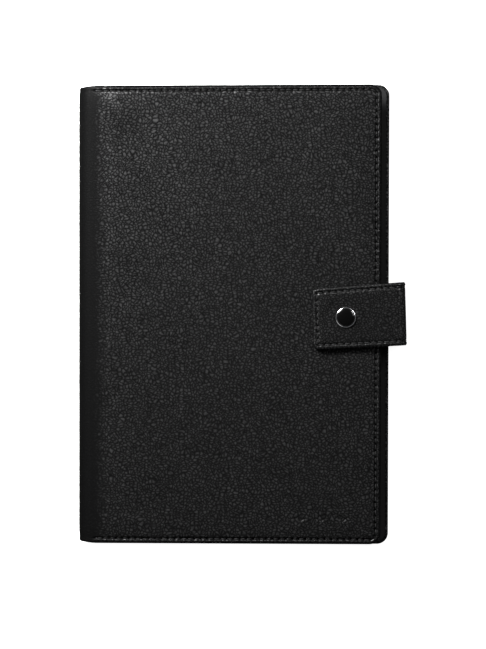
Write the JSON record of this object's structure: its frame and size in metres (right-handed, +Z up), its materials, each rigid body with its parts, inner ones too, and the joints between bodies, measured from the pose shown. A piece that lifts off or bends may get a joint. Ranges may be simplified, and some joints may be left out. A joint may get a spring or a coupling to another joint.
{
  "type": "leather notebook cover",
  "caption": "Black pebbled leather notebook cover with a wrap-over snap strap, inner sleeve, card pockets and a paper notebook inside.",
  "frame": {"origin": "centre of the bottom of the closed cover's box, strap included", "axes": "+Z up through the front cover, +X from the spine to the fore-edge and strap, +Y to the head of the cover"},
  "size_m": [0.1633, 0.2298, 0.0269],
  "materials": {
    "hide": "pebbled grain, soft sheen",
    "strap_hide": "fine pebbled grain, soft sheen",
    "lining": "plain woven, matt",
    "board": "grey board",
    "padding": "felt",
    "thread": "waxed twist",
    "paper": "uncoated",
    "card": "kraft card",
    "binding": "book cloth tape",
    "chrome": "polished",
    "enamel": "gloss black",
    "steel": "nickel plated"
  },
  "bodies": {
    "back_cover": {"back_outer_leather": "hide", "back_board": "board", "back_lining": "lining", "back_thread": "thread", "strap_root": "strap_hide", "back_sleeve": "lining", "sleeve_thread": "thread", "notebook_back_card": "card", "page_block": "paper", "notebook_front_sheet": "card", "notebook_binding": "binding"},
    "spine": {"spine_leather": "hide", "spine_stiffener": "board", "spine_lining": "lining", "back_hinge_leather": "hide", "back_hinge_lining": "lining", "front_hinge_leather": "hide", "front_hinge_lining": "lining"},
    "front_cover": {"front_outer_leather": "hide", "front_board": "board", "front_padding": "padding", "front_lining": "lining", "front_thread": "thread", "slip_pocket": "lining", "card_slot_1": "lining", "card_slot_2": "lining", "card_slot_3": "lining", "snap_post": "steel", "snap_stud": "steel"},
    "strap_bridge": {"bridge_leather": "strap_hide", "bridge_lining": "lining", "strap_lower_bend": "strap_hide", "strap_upper_bend": "strap_hide"},
    "strap_tab": {"tab_leather": "strap_hide", "tab_lining": "lining", "tab_thread": "thread", "snap_cap_rim": "chrome", "snap_cap_dome": "enamel", "snap_socket": "steel", "snap_spring": "steel"}
  },
  "joints": [
    {"name": "cover_back_fold", "type": "hinge", "parent": "back_cover", "child": "spine", "pos_m": [-0.07953, 0, 0.00212], "axis": [0, -1, 0], "range_deg": [0, 90], "deforming": ["back_hinge_leather", "back_hinge_lining"]},
    {"name": "cover_front_fold", "type": "hinge", "parent": "spine", "child": "front_cover", "pos_m": [-0.07953, 0, 0.02003], "axis": [0, -1, 0], "range_deg": [0, 90], "deforming": ["front_hinge_leather", "front_hinge_lining"]},
    {"name": "strap_back_fold", "type": "hinge", "parent": "back_cover", "child": "strap_bridge", "pos_m": [0.0795, -0.00003, 0.00275], "axis": [-0.0262, 0.9997, 0], "range_deg": [0, 88], "deforming": ["strap_lower_bend"]},
    {"name": "strap_front_fold", "type": "hinge", "parent": "strap_bridge", "child": "strap_tab", "pos_m": [0.0795, -0.00003, 0.02345], "axis": [-0.0262, 0.9997, 0], "range_deg": [0, 88], "deforming": ["strap_upper_bend"]}
  ],
  "couplings": [
    {"joint": "cover_front_fold", "follows": "cover_back_fold", "ratio": 1}
  ]
}
